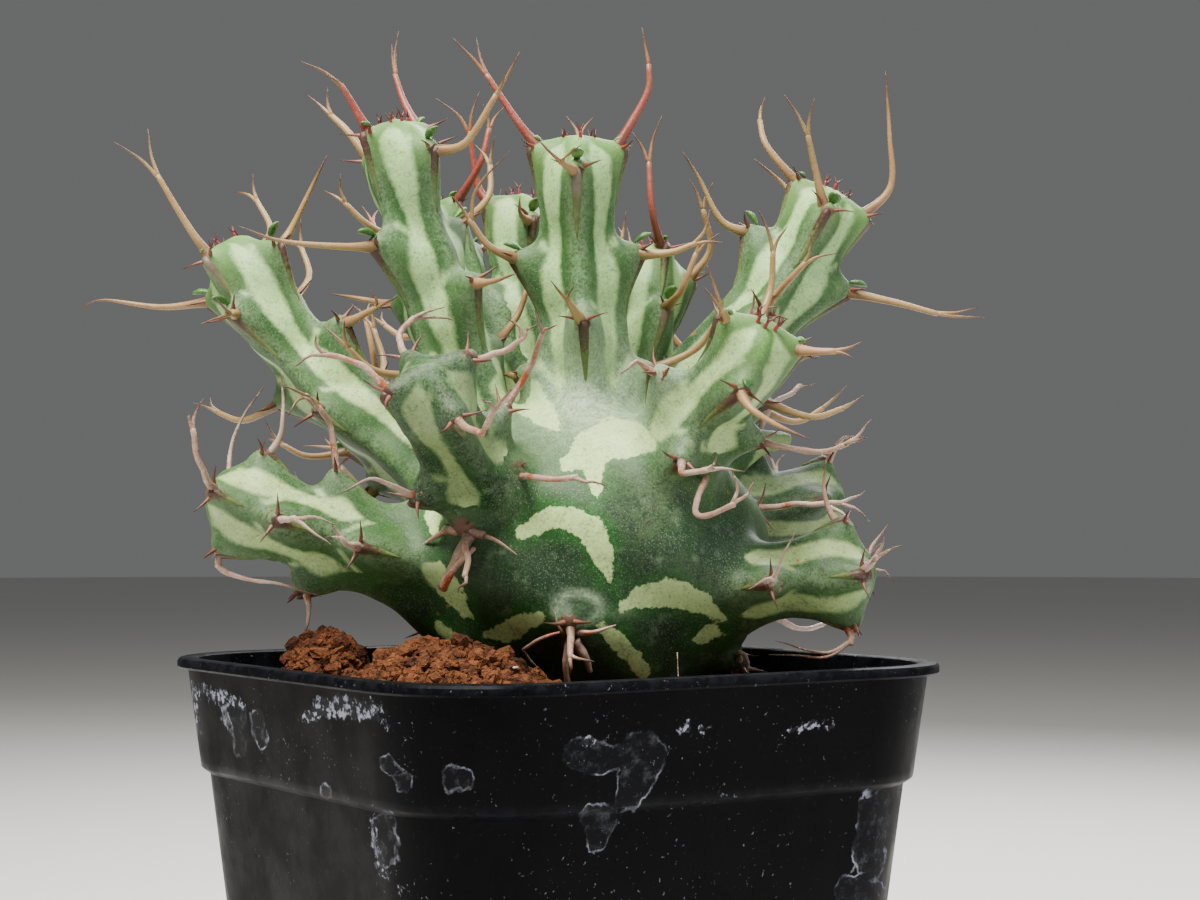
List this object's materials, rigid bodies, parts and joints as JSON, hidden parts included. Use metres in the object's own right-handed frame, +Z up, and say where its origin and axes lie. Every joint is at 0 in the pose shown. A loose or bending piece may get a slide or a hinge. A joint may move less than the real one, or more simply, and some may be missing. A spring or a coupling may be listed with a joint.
{
  "type": "potted euphorbia",
  "caption": "Spiny succulent euphorbia with short four-angled arms on a globe-shaped body, growing in soil in a square plastic nursery pot.",
  "frame": {"origin": "centre of the pot's underside, on the surface that the pot stands on", "axes": "+Z up along the pot's axis; the pot's four walls face +X, -X, +Y and -Y"},
  "size_m": [0.1163, 0.1133, 0.1725],
  "materials": {
    "pot": "black moulded plastic, satin, with dried lime stains",
    "soil": "crumbly red-brown potting soil",
    "plant_body": "waxy green skin with pale marks and brown scars",
    "arms": "waxy green skin with pale stripes, tan spines with brown tips"
  },
  "bodies": {
    "root": {"pot": "pot", "soil": "soil", "plant_body": "plant_body", "arm_upper_left": "arms", "arm_top_left": "arms", "arm_top_middle": "arms", "arm_upper_right": "arms", "arm_front_right": "arms", "arm_low_right": "arms", "arm_right_back": "arms", "arm_low_left": "arms", "arm_front_left": "arms", "arm_behind_top_left": "arms", "arm_behind_top_middle": "arms", "arm_behind_top_right": "arms", "arm_back_left": "arms", "arm_back_middle": "arms", "arm_back_right": "arms", "arm_back_low_left": "arms", "arm_back_low_right": "arms"}
  },
  "joints": []
}
